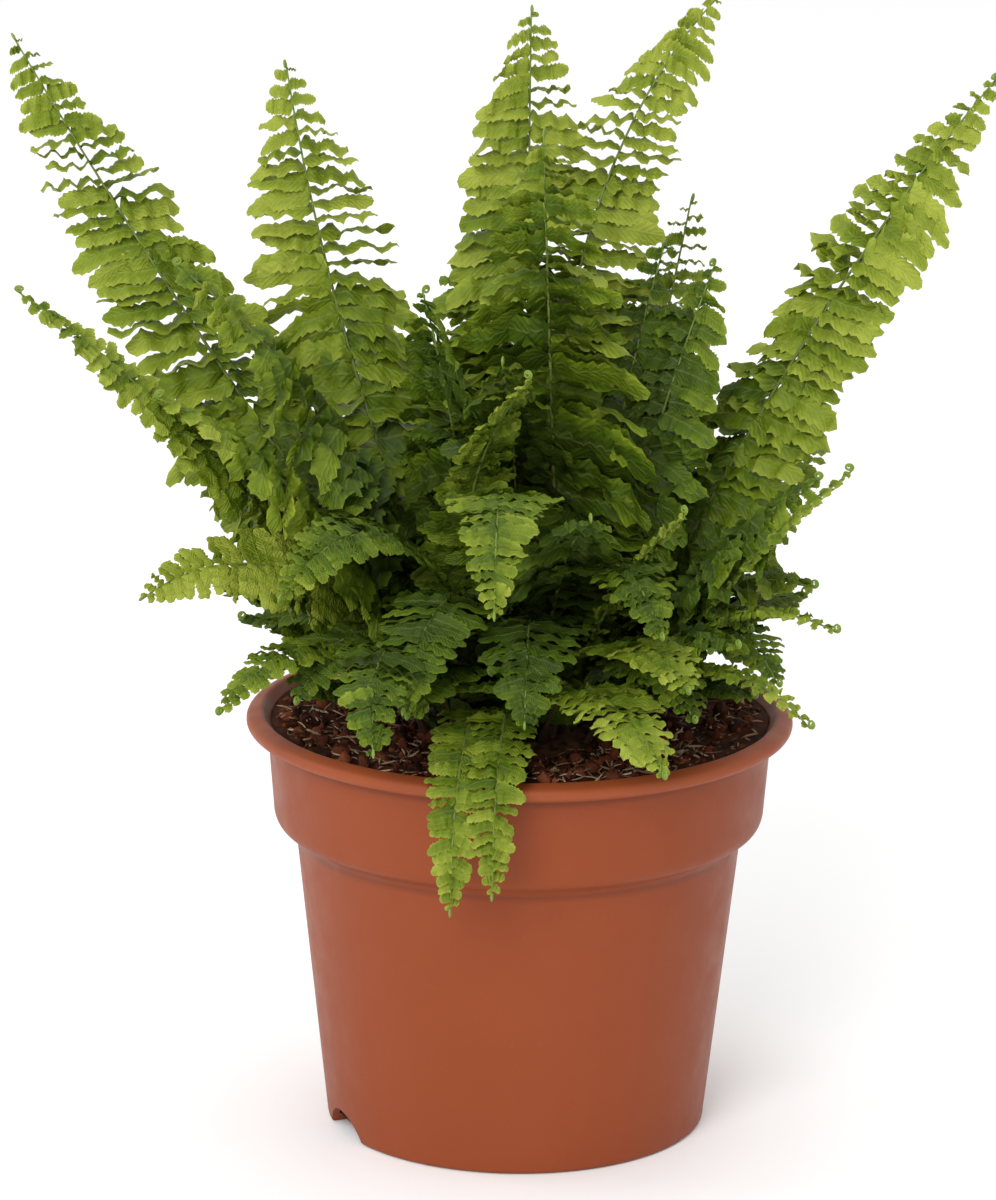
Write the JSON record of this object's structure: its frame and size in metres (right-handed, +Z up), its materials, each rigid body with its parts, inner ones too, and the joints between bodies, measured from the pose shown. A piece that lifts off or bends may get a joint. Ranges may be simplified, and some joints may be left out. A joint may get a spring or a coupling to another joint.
{
  "type": "potted fern",
  "caption": "Sword fern with arching once-divided fronds growing from one crown in a round flowerpot with a rolled lip and stepped band.",
  "frame": {"origin": "centre of the pot's flat underside, on the pot's axis", "axes": "+Z up along the pot's axis, -Y towards the front, where two fronds hang over the lip"},
  "size_m": [0.2131, 0.214, 0.245],
  "materials": {
    "pot_plastic": "satin terracotta-coloured polypropylene",
    "potting_soil": "moist coarse peat with light fibres",
    "crown_fibre": "rough brown scales and old stalk bases",
    "fern_leaf": "satin green leaf"
  },
  "bodies": {
    "root": {"pot": "pot_plastic", "soil": "potting_soil", "crown": "crown_fibre", "frond_tall_left": "fern_leaf", "frond_tall_right": "fern_leaf", "frond_centre_front": "fern_leaf", "frond_centre_back": "fern_leaf", "frond_upright_left": "fern_leaf", "frond_upright_right": "fern_leaf", "frond_low_left": "fern_leaf", "frond_hanging_left": "fern_leaf", "frond_hanging_right": "fern_leaf", "frond_arching_front": "fern_leaf", "frond_mid_left": "fern_leaf", "frond_mid_right": "fern_leaf", "frond_bright_left": "fern_leaf", "frond_drooping_left": "fern_leaf", "frond_rim_left": "fern_leaf", "frond_rim_front": "fern_leaf", "frond_rim_right": "fern_leaf", "frond_rim_mid_right": "fern_leaf", "frond_low_right": "fern_leaf", "frond_side_right": "fern_leaf", "frond_young_right": "fern_leaf", "frond_young_front": "fern_leaf", "frond_small_right": "fern_leaf", "frond_broad_left": "fern_leaf", "frond_inner_left": "fern_leaf", "frond_inner_right": "fern_leaf", "frond_shade_left": "fern_leaf", "frond_shade_front": "fern_leaf", "frond_shade_right": "fern_leaf", "frond_low_front": "fern_leaf", "frond_low_mid_left": "fern_leaf", "frond_low_mid_front": "fern_leaf", "frond_back_right": "fern_leaf", "frond_back_right_low": "fern_leaf", "frond_back_mid_right": "fern_leaf", "frond_back_mid_left": "fern_leaf", "frond_back_left": "fern_leaf", "frond_back_left_low": "fern_leaf", "frond_back_side_left": "fern_leaf", "frond_back_inner": "fern_leaf", "frond_apron_left": "fern_leaf", "frond_apron_mid_left": "fern_leaf", "frond_apron_middle": "fern_leaf", "frond_apron_mid_right": "fern_leaf", "frond_apron_right": "fern_leaf", "frond_side_low_left": "fern_leaf", "frond_side_low_right": "fern_leaf", "frond_foot_left": "fern_leaf", "frond_foot_right": "fern_leaf", "frond_young_mid": "fern_leaf", "frond_inner_front": "fern_leaf", "frond_tuft_left": "fern_leaf", "frond_tuft_right": "fern_leaf", "frond_tuft_side": "fern_leaf", "frond_tuft_low": "fern_leaf"}
  },
  "joints": []
}
